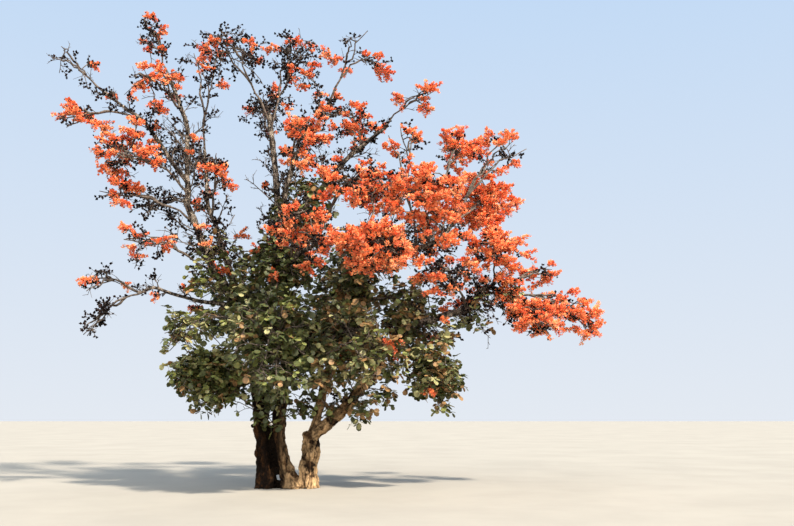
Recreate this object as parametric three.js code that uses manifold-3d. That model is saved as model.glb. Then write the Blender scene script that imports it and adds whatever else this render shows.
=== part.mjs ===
// A flame tree in flower, standing alone: three stems from one flared foot, boughs that fork
// and zigzag, and an airy crown of twigs with blossom tufts above and leaf sprays below.
// Millimetres, +Z up. The origin lies in the flat cut under the foot, at ground level.

import * as THREE from 'three';
import { mergeVertices } from 'three/addons/utils/BufferGeometryUtils.js';
import Module from 'manifold-3d';

const wasm = await Module();
wasm.setup();

// Driving sizes of the whole tree
const clearance = 0.3;
const footHeight = 760;
const flareHeight = 210;
const flareGain = 0.4;
const ridgeGain = 0.3;
const ridgeCount = 5;
const rootedSides = 10;
const limbSides = 8;
const thinLimbSides = 6;
const thickLimb = 70;
const limbStep = 560;
const fewestLimbSteps = 4;
const groundSlab = 6000;
const cutterGrowth = 0.33;
const goldenAngle = Math.PI * (3 - Math.sqrt(5));

// Each twig thins out, then widens into the spray at its end. Stations are shares of its length.
// Each mass hangs on one stem, and what it meets on the way in stays clear of leaves.
const stemSides = 4;
const stemRadius = 30;
const stemTipRadius = 10;
const stemLift = 0.1;
const stemStations = [0, 0.06, 0.6, 0.86, 1];
const twigSides = 3;
const twigRadius = 16;
const twigLift = 0.12;
const twigStations = [0, 0.14, 0.7, 1];
const twigTries = [1, 0.85, 0.7, 0.55];
const sideTwigRoot = 0.4;
const sideTwigLength = 0.85;
const sprayGap = 2;
const spaceLimit = 1.01;
const entryLimit = 0.15;
const entryReach = 1.7;
const mergeTolerance = 1e-4;
const smallestDetail = 1e-3;
const simplerBy = 0.1;

// What each kind of mass bears: twigs, how many of them fork, and the half width and half
// thickness of a spray as shares of the twig's length
const kinds = {
  blossom: { twigs: 6, forks: 5, spray: [0.27, 0.16], colour: 0xe8552b },
  leafy: { twigs: 7, forks: 6, spray: [0.4, 0.05], colour: 0x55662f },
  budded: { twigs: 6, forks: 4, spray: [0.16, 0.1], colour: 0x8a4a33 },
};
const barkColour = 0x5b4a3c;

// Each limb leaves its parent at a share of the parent's length, or starts below ground,
// passes its bends, and ends at its tip. Radii are given at the foot and at the tip.
const limbs = [
  { name: 'stem_left', from: [-370, 20, -150], bends: [[-430, 10, 750], [-570, 50, 1700]],
    tip: [-710, 0, 3150], radii: [208, 140] },
  { name: 'stem_middle', from: [180, -50, -150],
    bends: [[-115, -30, 750], [-150, -40, 1500], [50, 100, 2650]],
    tip: [1000, 500, 3900], radii: [178, 85] },
  { name: 'stem_right', from: [440, 0, -150], bends: [[490, 0, 600]],
    tip: [540, -30, 1080], radii: [188, 172], inFoot: true },
  { name: 'fork_outer', on: 'stem_right', at: 0.95, bends: [[1300, -150, 1680], [1720, -270, 2300]],
    tip: [2470, -400, 3320], radii: [140, 80] },
  { name: 'fork_inner', on: 'stem_right', at: 0.93, bends: [[790, 0, 2050], [1220, -400, 3500]],
    tip: [1440, -700, 4220], radii: [95, 62] },
  { name: 'leader', on: 'stem_left', at: 0.98, bends: [[-230, 120, 4900], [-300, 200, 6000]],
    tip: [-600, 300, 8200], radii: [120, 50] },
  { name: 'bough_left', on: 'stem_left', at: 0.97, bends: [[-1400, -150, 4200], [-1700, -200, 4750]],
    tip: [-2260, -300, 6050], radii: [100, 62] },
  { name: 'bough_left_inner', on: 'stem_left', at: 0.95, bends: [[-1400, 300, 4780], [-1900, 500, 6050]],
    tip: [-2100, 600, 7450], radii: [60, 32] },
  { name: 'bough_left_upright', on: 'bough_left', at: 0.97, bends: [[-2220, -300, 6700], [-2300, -300, 7700]],
    tip: [-2720, -300, 8800], radii: [58, 32] },
  { name: 'bough_left_outer', on: 'bough_left_upright', at: 0.22, bends: [[-3150, -450, 7650]],
    tip: [-4050, -550, 8380], radii: [42, 26] },
  { name: 'bough_low_left', on: 'bough_left', at: 0.2, bends: [[-1800, -200, 3850], [-2700, -330, 4080]],
    tip: [-3150, -350, 4000], radii: [42, 24] },
  { name: 'bough_top_right', on: 'leader', at: 0.52, bends: [[-50, 0, 6750], [520, -300, 7650]],
    tip: [850, -400, 8250], radii: [62, 32] },
  { name: 'bough_right_up', on: 'leader', at: 0.38, bends: [[260, 300, 5950], [1020, 700, 7140]],
    tip: [2100, 800, 8100], radii: [78, 34] },
  { name: 'bough_front', on: 'leader', at: 0.22, bends: [[-20, -500, 4600]],
    tip: [900, -1900, 4850], radii: [66, 36] },
  { name: 'bough_right', on: 'fork_inner', at: 0.97, bends: [[1960, -1000, 4950], [2900, -1200, 4850]],
    tip: [3550, -800, 5450], radii: [58, 32] },
  { name: 'bough_right_low', on: 'fork_outer', at: 0.97, bends: [[3750, -280, 3720], [4210, -200, 4110]],
    tip: [4700, -100, 4050], radii: [72, 34] },
  { name: 'bough_back', on: 'stem_middle', at: 0.97, bends: [[1300, 1600, 5000]],
    tip: [1650, 2450, 6200], radii: [74, 36] },
];

// Each mass grows from a limb at a share of its length, inside an ellipsoid of its own.
const masses = [
  { name: 'crown_far_left', kind: 'budded', on: 'bough_left_outer', at: 0.96,
    centre: [-4600, -600, 8750], radii: [680, 700, 880] },
  { name: 'crown_left_wing', kind: 'blossom', on: 'bough_left_outer', at: 0.55,
    centre: [-4250, -1000, 7600], radii: [600, 500, 330] },
  { name: 'crown_peak', kind: 'budded', on: 'bough_left_upright', at: 0.96,
    centre: [-3050, -400, 9550], radii: [400, 600, 900] },
  { name: 'crown_peak_skirt', kind: 'blossom', on: 'bough_left_upright', at: 0.75,
    centre: [-2750, -1000, 8250], radii: [750, 650, 480] },
  { name: 'crown_inner_spike', kind: 'budded', on: 'bough_left_inner', at: 0.97,
    centre: [-2250, 900, 9500], radii: [420, 600, 800] },
  { name: 'crown_left_flowers', kind: 'blossom', on: 'bough_left_upright', at: 0.12,
    centre: [-3320, -1100, 6750], radii: [720, 600, 500] },
  { name: 'crown_left_fringe', kind: 'blossom', on: 'bough_left', at: 0.88,
    centre: [-3550, -600, 6000], radii: [500, 450, 450] },
  { name: 'crown_left_inside', kind: 'budded', on: 'bough_left_inner', at: 0.65,
    centre: [-3200, 1400, 6300], radii: [700, 700, 650] },
  { name: 'crown_inner_flowers', kind: 'blossom', on: 'bough_left_inner', at: 0.6,
    centre: [-1500, -500, 6500], radii: [450, 500, 550] },
  { name: 'crown_low_left', kind: 'blossom', on: 'bough_left', at: 0.5,
    centre: [-2820, -900, 4850], radii: [600, 550, 400] },
  { name: 'crown_lowest_left', kind: 'budded', on: 'bough_low_left', at: 0.96,
    centre: [-3850, -350, 4200], radii: [600, 500, 350] },
  { name: 'crown_left_droop', kind: 'budded', on: 'bough_low_left', at: 0.85,
    centre: [-3850, -500, 3350], radii: [450, 450, 420] },
  { name: 'crown_top_left', kind: 'budded', on: 'leader', at: 0.96,
    centre: [-1300, -300, 9300], radii: [850, 800, 750] },
  { name: 'crown_top_middle', kind: 'budded', on: 'leader', at: 0.94,
    centre: [-50, 900, 9700], radii: [750, 750, 750] },
  { name: 'crown_top_right', kind: 'blossom', on: 'bough_top_right', at: 0.96,
    centre: [1400, -600, 9250], radii: [700, 650, 600] },
  { name: 'crown_front_heart', kind: 'blossom', on: 'bough_top_right', at: 0.35,
    centre: [450, -2100, 6700], radii: [550, 650, 750] },
  { name: 'crown_back_heart', kind: 'blossom', on: 'bough_right_up', at: 0.78,
    centre: [1200, 1900, 8450], radii: [850, 750, 650] },
  { name: 'crown_right_crest', kind: 'blossom', on: 'bough_right_up', at: 0.96,
    centre: [2750, 500, 8500], radii: [650, 550, 380] },
  { name: 'crown_right_column', kind: 'blossom', on: 'bough_right', at: 0.6,
    centre: [2450, -1000, 6850], radii: [450, 550, 700] },
  { name: 'crown_right_fan', kind: 'blossom', on: 'bough_right', at: 0.8,
    centre: [3700, 1100, 7600], radii: [650, 700, 650] },
  { name: 'crown_right_point', kind: 'blossom', on: 'bough_right', at: 0.93,
    centre: [4600, -300, 7150], radii: [620, 650, 620] },
  { name: 'crown_front_arch', kind: 'blossom', on: 'bough_front', at: 0.8,
    centre: [1400, -2500, 5650], radii: [800, 650, 430] },
  { name: 'crown_front_cloud', kind: 'blossom', on: 'bough_front', at: 0.96,
    centre: [1900, -3050, 4400], radii: [780, 700, 620] },
  { name: 'crown_centre_band', kind: 'blossom', on: 'bough_front', at: 0.6,
    centre: [450, -2900, 4850], radii: [650, 600, 400] },
  { name: 'crown_right_cloud', kind: 'blossom', on: 'bough_right', at: 0.7,
    centre: [2900, -2000, 5550], radii: [850, 750, 680] },
  { name: 'crown_right_shoulder', kind: 'blossom', on: 'bough_right', at: 0.97,
    centre: [4250, 300, 5950], radii: [850, 800, 700] },
  { name: 'crown_right_hanging', kind: 'blossom', on: 'bough_right_low', at: 0.75,
    centre: [4350, -700, 4750], radii: [800, 650, 680] },
  { name: 'crown_right_wing', kind: 'blossom', on: 'bough_right_low', at: 0.95,
    centre: [5450, 900, 4500], radii: [550, 600, 380] },
  { name: 'crown_right_skirt', kind: 'blossom', on: 'bough_right_low', at: 0.9,
    centre: [5100, -700, 3400], radii: [700, 650, 480] },
  { name: 'crown_right_tip', kind: 'blossom', on: 'bough_right_low', at: 0.97,
    centre: [6150, -100, 3500], radii: [550, 550, 520] },
  { name: 'crown_right_inside', kind: 'blossom', on: 'bough_right_low', at: 0.35,
    centre: [3200, -1500, 4080], radii: [750, 550, 500] },
  { name: 'crown_back_left', kind: 'budded', on: 'bough_left_inner', at: 0.9,
    centre: [-3250, 2300, 7800], radii: [900, 950, 850] },
  { name: 'crown_back_top', kind: 'budded', on: 'leader', at: 0.85,
    centre: [-900, 2400, 8900], radii: [950, 950, 800] },
  { name: 'crown_back_right', kind: 'blossom', on: 'bough_back', at: 0.96,
    centre: [1800, 3300, 7100], radii: [1000, 950, 800] },
  { name: 'crown_back_low_right', kind: 'blossom', on: 'bough_back', at: 0.8,
    centre: [3150, 2700, 5700], radii: [950, 900, 750] },
  { name: 'leaves_left', kind: 'leafy', on: 'bough_left', at: 0.12,
    centre: [-1700, -700, 3250], radii: [880, 950, 850] },
  { name: 'leaves_left_low', kind: 'leafy', on: 'stem_left', at: 0.6,
    centre: [-1500, -450, 2250], radii: [850, 900, 650] },
  { name: 'leaves_front', kind: 'leafy', on: 'bough_front', at: 0.3,
    centre: [50, -1950, 2850], radii: [950, 950, 1300] },
  { name: 'leaves_centre_right', kind: 'leafy', on: 'fork_inner', at: 0.55,
    centre: [1400, -1600, 2750], radii: [950, 850, 1150] },
  { name: 'leaves_right', kind: 'leafy', on: 'fork_inner', at: 0.8,
    centre: [2500, 200, 3650], radii: [850, 850, 800] },
  { name: 'leaves_hanging', kind: 'leafy', on: 'fork_outer', at: 0.8,
    centre: [3050, -900, 2250], radii: [600, 650, 720] },
  { name: 'leaves_back_left', kind: 'leafy', on: 'stem_left', at: 0.9,
    centre: [-1500, 1900, 3900], radii: [1050, 1050, 1050] },
  { name: 'leaves_back_right', kind: 'leafy', on: 'stem_middle', at: 0.8,
    centre: [950, 2400, 3500], radii: [1100, 1100, 1050] },
];

// A small seeded generator, so that the tree grows the same way every time
function seededRandom(seed) {
  let state = seed >>> 0;
  return () => {
    state = (state + 0x6d2b79f5) >>> 0;
    let mixed = Math.imul(state ^ (state >>> 15), state | 1);
    mixed = (mixed + Math.imul(mixed ^ (mixed >>> 7), mixed | 61)) ^ mixed;
    return ((mixed ^ (mixed >>> 14)) >>> 0) / 4294967296;
  };
}

function toSolid(geometry) {
  geometry.deleteAttribute('normal');
  geometry.deleteAttribute('uv');
  const merged = mergeVertices(geometry, mergeTolerance);
  const mesh = new wasm.Mesh({
    numProp: 3,
    vertProperties: merged.getAttribute('position').array,
    triVerts: Uint32Array.from(merged.index.array),
  });
  return new wasm.Manifold(mesh);
}

function toGeometry(solid) {
  const mesh = solid.getMesh();
  const geometry = new THREE.BufferGeometry();
  geometry.setAttribute('position', new THREE.BufferAttribute(mesh.vertProperties, 3));
  geometry.setIndex(new THREE.BufferAttribute(mesh.triVerts, 1));
  const flat = geometry.toNonIndexed();
  flat.computeVertexNormals();
  return flat;
}

function slab(bottom, top) {
  const box = new THREE.BoxGeometry(groundSlab, groundSlab, top - bottom);
  box.translate(0, 0, (top + bottom) / 2);
  return toSolid(box);
}

// The axis least along the limb's run keeps its rings from twisting.
function steadyAxis(run) {
  const parts = [Math.abs(run.x), Math.abs(run.y), Math.abs(run.z)];
  const least = parts.indexOf(Math.min(...parts));
  return new THREE.Vector3(least === 0 ? 1 : 0, least === 1 ? 1 : 0, least === 2 ? 1 : 0);
}

// Lays a unit shape's rows of points as rings along a curve, one row at each station.
// The half width and half thickness are worked out at each ring and angle.
function layAlong(geometry, rowShare, curve, sizeAt, stations, roll = 0) {
  const position = geometry.getAttribute('position');
  const steady = steadyAxis(curve.getPoint(1).sub(curve.getPoint(0)));
  for (let i = 0; i < position.count; i += 1) {
    const share = stations[Math.round(rowShare(position.getY(i)) * (stations.length - 1))];
    const across = new THREE.Vector2(position.getX(i), position.getZ(i));
    if (across.length() > smallestDetail) across.normalize();
    const tangent = curve.getTangent(share);
    const side = new THREE.Vector3().crossVectors(steady, tangent).normalize();
    const up = new THREE.Vector3().crossVectors(side, tangent);
    side.applyAxisAngle(tangent, roll);
    up.applyAxisAngle(tangent, roll);
    const centre = curve.getPoint(share);
    const [halfWidth, halfThickness] = sizeAt(share, across.angle(), centre);
    centre.addScaledVector(side, across.x * halfWidth).addScaledVector(up, across.y * halfThickness);
    position.setXYZ(i, centre.x, centre.y, centre.z);
  }
  return toSolid(geometry);
}

// A closed bar with flat ends
function bar(curve, sizeAt, sides, stations) {
  const geometry = new THREE.CylinderGeometry(1, 1, 1, sides, stations.length - 1);
  return layAlong(geometry, (height) => height + 0.5, curve, sizeAt, stations);
}

// A closed spindle that comes to a point at both ends
function spindle(curve, sizeAt, sides, stations, roll) {
  const geometry = new THREE.SphereGeometry(1, sides, stations.length - 1);
  const rowShare = (height) => 1 - Math.acos(THREE.MathUtils.clamp(height, -1, 1)) / Math.PI;
  return layAlong(geometry, rowShare, curve, sizeAt, stations, roll);
}

function evenStations(steps) {
  return Array.from({ length: steps + 1 }, (_, index) => index / steps);
}

function smoothCurve(points) {
  return new THREE.CatmullRomCurve3(points, false, 'catmullrom', 0.5);
}

// The solid runs straight from ring to ring, so what grows from it starts on that straight run.
function onRun(curve, stations, share) {
  const next = Math.max(1, stations.findIndex((station) => station >= share));
  const [before, after] = [stations[next - 1], stations[next]];
  const part = (share - before) / (after - before);
  return curve.getPoint(before).lerp(curve.getPoint(after), part);
}

const limbCurves = new Map();

function limbStations(name) {
  const steps = Math.round(limbCurves.get(name).getLength() / limbStep);
  return evenStations(Math.max(fewestLimbSteps, steps));
}

function onLimb(name, share) {
  return onRun(limbCurves.get(name), limbStations(name), share);
}

for (const limb of limbs) {
  const start = limb.on ? onLimb(limb.on, limb.at) : new THREE.Vector3(...limb.from);
  const route = [...limb.bends, limb.tip].map((point) => new THREE.Vector3(...point));
  limbCurves.set(limb.name, smoothCurve([start, ...route]));
}

function longerCurve(curve, extra) {
  const points = curve.points.map((point) => point.clone());
  points[0].addScaledVector(curve.getTangent(0), -extra);
  points.at(-1).addScaledVector(curve.getTangent(1), extra);
  return smoothCurve(points);
}

// The three stems widen towards the ground, with low ridges where the roots leave.
function limbSolid(limb, grown = 0) {
  const curve = longerCurve(limbCurves.get(limb.name), grown);
  const rooted = !limb.on;
  const sizeAt = (share, angle, centre) => {
    const plain = THREE.MathUtils.lerp(limb.radii[0], limb.radii[1], share);
    const nearGround = rooted ? Math.exp(-Math.max(centre.z, 0) / flareHeight) : 0;
    const ridge = 1 + ridgeGain * Math.cos(ridgeCount * angle);
    const radius = plain * (1 + flareGain * nearGround * ridge) + grown;
    return [radius, radius];
  };
  if (rooted) return bar(curve, sizeAt, rootedSides, evenStations(limbStations(limb.name).length * 2));
  return bar(curve, sizeAt, limb.radii[0] > thickLimb ? limbSides : thinLimbSides, limbStations(limb.name));
}

function boxesNear(a, b, reach) {
  const first = a.boundingBox();
  const second = b.boundingBox();
  return [0, 1, 2].every((axis) => first.min[axis] - reach < second.max[axis]
    && second.min[axis] - reach < first.max[axis]);
}

function largestBody(solid) {
  return solid.decompose().reduce((best, body) => (body.volume() > best.volume() ? body : best));
}

// The foot holds the lowest part of all three stems in one piece, cut flat at the ground.
// The short right stem belongs to it up to its fork.
const solids = new Map();
const footParts = limbs.filter((limb) => !limb.on)
  .map((limb) => limbSolid(limb).intersect(slab(0, limb.inFoot ? groundSlab : footHeight)));
solids.set('trunk_foot', largestBody(wasm.Manifold.union(footParts)));

const aboveFoot = slab(footHeight + clearance, groundSlab);
const grownLimbs = [];
for (const limb of limbs) {
  let solid = limbSolid(limb);
  if (!limb.on) solid = solid.intersect(aboveFoot);
  for (const grown of grownLimbs) {
    if (boxesNear(solid, grown, clearance)) solid = solid.subtract(grown);
  }
  if (!limb.inFoot) solids.set(limb.name, largestBody(solid));
  grownLimbs.push(limbSolid(limb, cutterGrowth));
}
const limbNames = [...solids.keys()];

// A point belongs to the mass whose ellipsoid holds it deepest.
function depthIn(mass, point) {
  const [x, y, z] = mass.centre;
  const [rx, ry, rz] = mass.radii;
  return Math.hypot((point.x - x) / rx, (point.y - y) / ry, (point.z - z) / rz);
}

function inOwnSpace(mass, point) {
  const own = depthIn(mass, point);
  return own <= spaceLimit && masses.every((other) => other === mass || depthIn(other, point) > own);
}

function bowedCurve(start, end, lift) {
  const middle = new THREE.Vector3().lerpVectors(start, end, 0.5);
  middle.z += lift * start.distanceTo(end);
  return smoothCurve([start, middle, end]);
}

function stemCurve(mass) {
  const start = onLimb(mass.on, mass.at);
  const centre = new THREE.Vector3(...mass.centre);
  const onward = centre.clone().sub(start).normalize();
  const radius = 1 / depthIn({ centre: [0, 0, 0], radii: mass.radii }, onward);
  return bowedCurve(start, centre.addScaledVector(onward, radius), stemLift);
}

// Directions spread evenly over a ball, by the golden angle
function evenDirection(index, count, phase) {
  const height = 1 - (2 * (index + 0.5)) / count;
  const ring = Math.sqrt(1 - height * height);
  const angle = index * goldenAngle + phase;
  return new THREE.Vector3(ring * Math.cos(angle), ring * Math.sin(angle), height);
}

// Half width and half thickness of a twig that widens into its spray at the last station but one
function twigSize(share, stations, thick, thin, spray) {
  if (share === 0 || share === 1) return [0, 0];
  if (share === stations.at(-2)) return spray;
  const radius = share === stations[1] ? thick : thin;
  return [radius, radius];
}

function meanRadius(mass) {
  return (mass.radii[0] + mass.radii[1] + mass.radii[2]) / 3;
}

function clearOfAll(solid, neighbours) {
  return neighbours.every((other) => !boxesNear(solid, other, sprayGap)
    || solid.minGap(other, sprayGap) >= sprayGap);
}

// Stems of all masses come first, so that every twig and spray can keep clear of them.
const grown = new Map();
for (const mass of masses) {
  const curve = stemCurve(mass);
  const spray = kinds[mass.kind].spray.map((share) => share * meanRadius(mass));
  const sizeAt = (share) => twigSize(share, stemStations, stemRadius, stemTipRadius, spray);
  let stem = spindle(curve, sizeAt, stemSides, stemStations);
  for (const limb of grownLimbs) {
    if (boxesNear(stem, limb, clearance)) stem = stem.subtract(limb);
  }
  grown.set(mass.name, { curve, solids: [largestBody(stem)] });
}

function neighboursOf(mass) {
  const others = masses.filter((other) => other !== mass);
  return [...limbNames.map((name) => solids.get(name)),
    ...others.flatMap((other) => grown.get(other.name).solids)];
}

// The twig's full length is tried first, then shorter ones, until one keeps clear of all else.
function tryTwig(mass, root, reach, roll) {
  const spray = kinds[mass.kind].spray;
  const around = neighboursOf(mass);
  for (const share of twigTries) {
    const end = root.clone().lerp(reach, share);
    const curve = bowedCurve(root, end, twigLift);
    const span = Math.max(root.distanceTo(end), meanRadius(mass) / 2);
    const halfSizes = spray.map((part) => part * span);
    const sizeAt = (along) => twigSize(along, twigStations, twigRadius, twigRadius, halfSizes);
    const twig = spindle(curve, sizeAt, twigSides, twigStations, roll);
    if (inOwnSpace(mass, end) && clearOfAll(twig, around)) {
      grown.get(mass.name).solids.push(twig);
      return curve;
    }
  }
  return null;
}

function growTwigs(mass, seed) {
  const random = seededRandom(seed);
  const { twigs, forks } = kinds[mass.kind];
  const stem = grown.get(mass.name).curve;
  const stemRun = stem.getPoint(1).sub(stem.getPoint(0)).normalize();
  const entry = Math.max(entryLimit, 1 - (entryReach * meanRadius(mass)) / stem.getLength());
  for (let i = 0; i < twigs; i += 1) {
    const direction = evenDirection(i, twigs, seed);
    const outward = (direction.dot(stemRun) + 1) / 2;
    const root = onRun(stem, stemStations, entry + (stemStations.at(-2) - entry) * outward);
    const reach = new THREE.Vector3(...mass.radii).multiply(direction).add(new THREE.Vector3(...mass.centre));
    const twig = tryTwig(mass, root, reach, random() * Math.PI);
    const side = evenDirection(i, twigs, seed + random() * Math.PI).cross(direction).normalize();
    if (!twig || i >= forks) continue;
    const sideRoot = onRun(twig, twigStations, sideTwigRoot);
    const length = sideTwigLength * twig.getLength();
    const sideReach = sideRoot.clone().addScaledVector(direction.add(side).normalize(), length);
    tryTwig(mass, sideRoot, sideReach, random() * Math.PI);
  }
}

masses.forEach((mass, index) => growTwigs(mass, index + 1));
for (const mass of masses) {
  const fused = wasm.Manifold.union(grown.get(mass.name).solids).simplify(simplerBy);
  solids.set(mass.name, largestBody(fused));
}

const tree = new THREE.Group();
tree.name = 'flame_tree';
for (const [name, solid] of solids) {
  const mass = masses.find((row) => row.name === name);
  const material = new THREE.MeshStandardMaterial({
    color: mass ? kinds[mass.kind].colour : barkColour,
    roughness: mass ? 0.6 : 0.9,
    metalness: 0,
    flatShading: true,
  });
  const mesh = new THREE.Mesh(toGeometry(solid), material);
  mesh.name = name;
  tree.add(mesh);
}

export default tree;
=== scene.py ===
# A flame tree in flower, grown again around its own frame of limbs: bark with its relief on the
# trunk and boughs, crooked twigs, racemes of orange blossom, dark buds, and three-part leaves.
# Metres, +Z up, the foot of the trunk at the origin.

import math

import bpy
import numpy as np
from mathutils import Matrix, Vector, noise


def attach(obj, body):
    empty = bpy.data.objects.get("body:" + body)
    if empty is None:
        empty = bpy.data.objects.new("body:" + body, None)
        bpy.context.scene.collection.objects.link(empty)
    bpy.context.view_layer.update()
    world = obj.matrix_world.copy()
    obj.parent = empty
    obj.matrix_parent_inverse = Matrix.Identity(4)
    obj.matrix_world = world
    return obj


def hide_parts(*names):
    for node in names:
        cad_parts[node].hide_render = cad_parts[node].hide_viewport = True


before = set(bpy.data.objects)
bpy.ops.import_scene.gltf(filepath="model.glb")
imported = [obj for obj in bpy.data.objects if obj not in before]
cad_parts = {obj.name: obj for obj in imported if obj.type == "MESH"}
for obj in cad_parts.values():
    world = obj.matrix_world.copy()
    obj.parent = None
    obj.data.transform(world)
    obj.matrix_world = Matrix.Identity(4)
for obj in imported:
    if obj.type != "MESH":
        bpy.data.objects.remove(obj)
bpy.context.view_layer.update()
print("stage: frame loaded")

goldenAngle = math.pi * (3 - math.sqrt(5))

def unit(vectors):
    length = np.linalg.norm(vectors, axis=-1, keepdims=True)
    return vectors / np.maximum(length, 1e-9)


# The smooth curve of the solids: from b to c by a share, with the points a before and d after them
def curveBetween(a, b, c, d, share):
    return 0.5 * (2 * b + (c - a) * share + (2 * a - 5 * b + 4 * c - d) * share ** 2
                  + (3 * b - a - 3 * c + d) * share ** 3)


# A smooth path through a few points
def smoothPath(points, count):
    p = np.array(points, float)
    p = np.vstack([2 * p[0] - p[1], p, 2 * p[-1] - p[-2]])
    place = np.linspace(0, len(points) - 1, count)
    i = np.minimum(place.astype(int), len(points) - 2)
    return curveBetween(p[i], p[i + 1], p[i + 2], p[i + 3], (place - i)[:, None])


# Lets paths wander from side to side between ends that stay where they are
wanderWaves = (2.3, 4.1, 7.3)


def crooked(paths, amount, rng):
    share = np.linspace(0, 1, paths.shape[1])[None, :, None]
    wander = np.zeros_like(paths)
    for waves in wanderWaves:
        phase = rng.uniform(0, 2 * math.pi, (len(paths), 1, 3))
        wander += np.sin(share * math.pi * waves + phase) / math.sqrt(waves)
    return paths + wander * np.sin(math.pi * share) * np.reshape(amount, (-1, 1, 1))


# Many paths at once, each from a start over a lifted middle to its end
def bowedPaths(starts, ends, lift, count):
    middles = (starts + ends) / 2
    middles[:, 2] += lift * np.linalg.norm(ends - starts, axis=1)
    place = np.linspace(0, 2, count)[None, :, None]
    early = place <= 1
    s, m, e = starts[:, None], middles[:, None], ends[:, None]
    return curveBetween(np.where(early, 2 * s - m, s), np.where(early, s, m), np.where(early, m, e),
                        np.where(early, e, 2 * e - m), np.where(early, place, place - 1))


# Points and directions at given shares along paths
def alongPaths(paths, shares):
    last = paths.shape[1] - 1
    place = np.clip(shares, 0, 1) * last
    i = np.minimum(place.astype(int), last - 1)
    rows = np.arange(len(paths))
    before, after = paths[rows, i], paths[rows, i + 1]
    return before + (after - before) * (place - i)[:, None], unit(after - before)


# Ring directions across each path, steadied by the axis least along its run
def ringAxes(paths):
    tangents = unit(np.gradient(paths, axis=1))
    run = np.abs(paths[:, -1] - paths[:, 0])
    steady = np.eye(3)[np.argmin(run, axis=1)][:, None, :]
    side = unit(np.cross(np.broadcast_to(steady, tangents.shape), tangents))
    return side, np.cross(side, tangents)


# Closed tubes round many paths at once: vertices, side quads and end faces
def tubes(paths, radii, sides):
    count, rings = paths.shape[:2]
    side, up = ringAxes(paths)
    angle = np.arange(sides) * 2 * math.pi / sides
    spread = np.sin(angle)[:, None] * side[:, :, None, :] + np.cos(angle)[:, None] * up[:, :, None, :]
    reach = np.broadcast_to(radii, (count, rings))[:, :, None, None]
    vertices = (paths[:, :, None, :] + spread * reach).reshape(-1, 3)
    ring, k = np.meshgrid(np.arange(rings - 1), np.arange(sides), indexing="ij")
    here, there = ring * sides, (ring + 1) * sides
    onward = (k + 1) % sides
    quad = np.stack([here + k, here + onward, there + onward, there + k], -1).reshape(1, -1, 4)
    ends = np.stack([np.arange(sides)[::-1], (rings - 1) * sides + np.arange(sides)])[None]
    shift = (np.arange(count) * rings * sides)[:, None, None]
    return vertices, [(quad + shift).reshape(-1, 4), (ends + shift).reshape(-1, sides)]


def newObject(name, data):
    piece = bpy.data.objects.new(name, data)
    bpy.context.scene.collection.objects.link(piece)
    return piece


# A mesh object from vertices and lists of faces, each list with its own number of corners
def meshObject(name, vertices, faceLists, smooth=False):
    mesh = bpy.data.meshes.new(name)
    corners = np.concatenate([faces.reshape(-1) for faces in faceLists])
    sizes = np.concatenate([np.full(len(faces), faces.shape[1]) for faces in faceLists])
    mesh.vertices.add(len(vertices))
    mesh.vertices.foreach_set("co", np.asarray(vertices, np.float32).reshape(-1))
    mesh.loops.add(len(corners))
    mesh.loops.foreach_set("vertex_index", corners.astype(np.int32))
    mesh.polygons.add(len(sizes))
    mesh.polygons.foreach_set("loop_start", (np.cumsum(sizes) - sizes).astype(np.int32))
    mesh.polygons.foreach_set("use_smooth", np.full(len(sizes), smooth))
    mesh.update(calc_edges=True)
    return newObject(name, mesh)


# Frames whose first axis runs along each direction, rolled about it by an angle
steepFrom = 0.95


def framesAlong(directions, rolls):
    forward = unit(directions)
    steep = np.abs(forward[:, 2:3]) > steepFrom
    side = unit(np.cross(np.where(steep, [1, 0, 0], [0, 0, 1]), forward))
    top = np.cross(forward, side)
    c, s = np.cos(rolls)[:, None], np.sin(rolls)[:, None]
    return np.stack([forward, side * c + top * s, top * c - side * s], axis=2)


# A small model at many places at once: along one direction, with one roll, size and origin for each copy
def stampMany(points, faces, directions, rolls, sizes, origins):
    frames = framesAlong(directions, rolls)
    placed = np.einsum("nij,vj->nvi", frames, points) * sizes[:, None, None] + origins[:, None]
    shift = (np.arange(len(origins)) * len(points))[:, None, None]
    return placed.reshape(-1, 3), [(faces[None] + shift).reshape(-1, faces.shape[1])]


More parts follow.
